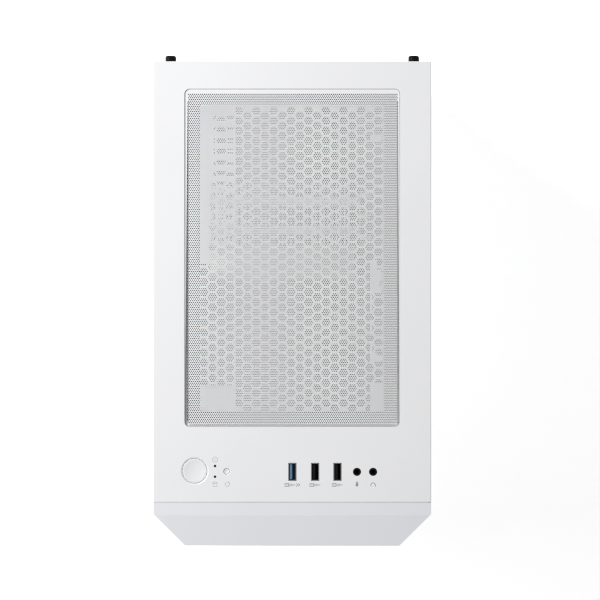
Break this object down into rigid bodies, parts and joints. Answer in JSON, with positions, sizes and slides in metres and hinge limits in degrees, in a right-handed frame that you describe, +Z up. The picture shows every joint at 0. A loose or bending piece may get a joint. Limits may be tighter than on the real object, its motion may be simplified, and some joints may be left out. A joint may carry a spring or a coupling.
{
  "type": "desktop computer tower",
  "caption": "White mid-size desktop computer tower with a lift-off perforated top filter over a honeycomb vent, front controls and sockets on top, glass side and ATX rear.",
  "frame": {"origin": "on the floor, under the middle of the whole plan, thumbscrew heads included", "axes": "+Z up, -Y to the front bezel, -X to the glass side"},
  "size_m": [0.21, 0.3714, 0.48],
  "materials": {
    "white_steel": "fine satin powder coat",
    "white_plastic": "fine moulded texture",
    "filter_sheet": "fine perforated sheet",
    "magnet_strip": "dark flexible magnet",
    "black_plastic": "moulded",
    "blue_plastic": "moulded",
    "black_screw": "black zinc",
    "socket_steel": "bright tin plate",
    "tinted_glass": "tempered",
    "rubber": "matt",
    "green_board": "solder mask",
    "black_board": "solder mask",
    "fin_aluminium": "bright",
    "dark_aluminium": "anodised",
    "brass": "turned",
    "psu_steel": "powder coat",
    "drive_casting": "cast",
    "white_fan": "moulded"
  },
  "bodies": {
    "chassis": {"top_panel": "white_steel", "base_pan": "white_steel", "rear_panel": "white_steel", "front_bulkhead": "white_steel", "motherboard_tray": "white_steel", "psu_shroud": "white_steel", "drive_cage": "white_steel", "led_lenses": "black_plastic", "control_board": "green_board", "tact_switches": "black_plastic", "usb3_shell": "socket_steel", "usb3_insulator": "blue_plastic", "usb2_shells": "socket_steel", "usb2_insulators": "black_plastic", "audio_jacks": "black_plastic", "feet": "white_plastic", "foot_pads": "rubber", "front_fan_frames": "white_fan", "rear_fan_frame": "white_fan", "psu_case": "psu_steel", "psu_inlet": "black_plastic", "motherboard": "black_board", "board_standoffs": "brass", "rear_sockets": "socket_steel", "socket_shield": "socket_steel", "board_slots": "black_plastic", "board_heatsinks": "dark_aluminium", "memory_modules": "dark_aluminium", "cooler_heatsink": "fin_aluminium", "cooler_fan_frame": "white_fan", "graphics_card": "black_board", "graphics_shroud": "white_plastic", "slot_covers": "white_steel", "cable_grommets": "rubber", "hard_drive": "drive_casting", "solid_state_drive": "dark_aluminium"},
    "top_filter": {"top_filter": "filter_sheet", "top_filter_magnet": "magnet_strip"},
    "power_button": {"power_button": "white_plastic"},
    "reset_button": {"reset_button": "white_plastic"},
    "glass_panel": {"glass_side_panel": "tinted_glass", "glass_panel_frame": "white_steel"},
    "right_panel": {"right_side_panel": "white_steel"},
    "thumbscrew_left_lower": {"thumbscrew_left_lower": "black_screw"},
    "thumbscrew_left_upper": {"thumbscrew_left_upper": "black_screw"},
    "thumbscrew_right_lower": {"thumbscrew_right_lower": "black_screw"},
    "thumbscrew_right_upper": {"thumbscrew_right_upper": "black_screw"},
    "front_bezel": {"front_bezel": "white_plastic", "front_mesh": "white_steel", "front_filter": "black_plastic"},
    "psu_filter": {"psu_filter": "black_plastic"},
    "psu_switch": {"psu_switch": "black_plastic"},
    "psu_fan": {"psu_fan_rotor": "black_plastic"},
    "front_fan_lower": {"front_fan_rotor_lower": "white_fan"},
    "front_fan_middle": {"front_fan_rotor_middle": "white_fan"},
    "front_fan_upper": {"front_fan_rotor_upper": "white_fan"},
    "rear_fan": {"rear_fan_rotor": "white_fan"},
    "cooler_fan": {"cooler_fan_rotor": "white_fan"},
    "graphics_fan_front": {"graphics_fan_rotor_front": "white_fan"},
    "graphics_fan_rear": {"graphics_fan_rotor_rear": "white_fan"}
  },
  "joints": [
    {"name": "power_button_press", "type": "slide", "parent": "chassis", "child": "power_button", "axis": [0, 0, -1], "range_m": [0, 0.0015], "stiffness_N_per_m": 500, "springref_m": -0.0015},
    {"name": "reset_button_press", "type": "slide", "parent": "chassis", "child": "reset_button", "axis": [0, 0, -1], "range_m": [0, 0.001], "stiffness_N_per_m": 400, "springref_m": -0.001},
    {"name": "top_filter_lift", "type": "slide", "parent": "chassis", "child": "top_filter", "axis": [0, 0, 1], "range_m": [0, 0.06]},
    {"name": "glass_panel_draw", "type": "slide", "parent": "chassis", "child": "glass_panel", "axis": [0, 1, 0], "range_m": [0, 0.34]},
    {"name": "right_panel_draw", "type": "slide", "parent": "chassis", "child": "right_panel", "axis": [0, 1, 0], "range_m": [0, 0.34]},
    {"name": "front_bezel_pull", "type": "slide", "parent": "chassis", "child": "front_bezel", "axis": [0, -1, 0], "range_m": [0, 0.06]},
    {"name": "psu_filter_draw", "type": "slide", "parent": "chassis", "child": "psu_filter", "axis": [0, 1, 0], "range_m": [0, 0.16]},
    {"name": "psu_switch_rock", "type": "hinge", "parent": "chassis", "child": "psu_switch", "pos_m": [0.052, 0.1735, 0.04], "axis": [0, 0, 1], "range_deg": [0, 12]},
    {"name": "thumbscrew_left_lower_turn", "type": "hinge", "parent": "glass_panel", "child": "thumbscrew_left_lower", "pos_m": [-0.0924, 0.18025, 0.043], "axis": [0, 1, 0], "continuous": true},
    {"name": "thumbscrew_left_upper_turn", "type": "hinge", "parent": "glass_panel", "child": "thumbscrew_left_upper", "pos_m": [-0.0924, 0.18025, 0.452], "axis": [0, 1, 0], "continuous": true},
    {"name": "thumbscrew_right_lower_turn", "type": "hinge", "parent": "right_panel", "child": "thumbscrew_right_lower", "pos_m": [0.0924, 0.18025, 0.043], "axis": [0, 1, 0], "continuous": true},
    {"name": "thumbscrew_right_upper_turn", "type": "hinge", "parent": "right_panel", "child": "thumbscrew_right_upper", "pos_m": [0.0924, 0.18025, 0.452], "axis": [0, 1, 0], "continuous": true},
    {"name": "front_fan_lower_spin", "type": "hinge", "parent": "chassis", "child": "front_fan_lower", "pos_m": [0, -0.15205, 0.172], "axis": [0, -1, 0], "continuous": true},
    {"name": "front_fan_middle_spin", "type": "hinge", "parent": "chassis", "child": "front_fan_middle", "pos_m": [0, -0.15205, 0.293], "axis": [0, -1, 0], "continuous": true},
    {"name": "front_fan_upper_spin", "type": "hinge", "parent": "chassis", "child": "front_fan_upper", "pos_m": [0, -0.15205, 0.414], "axis": [0, -1, 0], "continuous": true},
    {"name": "rear_fan_spin", "type": "hinge", "parent": "chassis", "child": "rear_fan", "pos_m": [-0.03, 0.178, 0.395], "axis": [0, -1, 0], "continuous": true},
    {"name": "cooler_fan_spin", "type": "hinge", "parent": "chassis", "child": "cooler_fan", "pos_m": [-0.008, 0.0416, 0.378], "axis": [0, -1, 0], "continuous": true},
    {"name": "psu_fan_spin", "type": "hinge", "parent": "chassis", "child": "psu_fan", "pos_m": [0, 0.1025, 0.03], "axis": [0, 0, 1], "continuous": true},
    {"name": "graphics_fan_front_spin", "type": "hinge", "parent": "chassis", "child": "graphics_fan_front", "pos_m": [0.007, -0.036, 0.264], "axis": [0, 0, -1], "continuous": true},
    {"name": "graphics_fan_rear_spin", "type": "hinge", "parent": "chassis", "child": "graphics_fan_rear", "pos_m": [0.007, 0.074, 0.264], "axis": [0, 0, -1], "continuous": true}
  ]
}
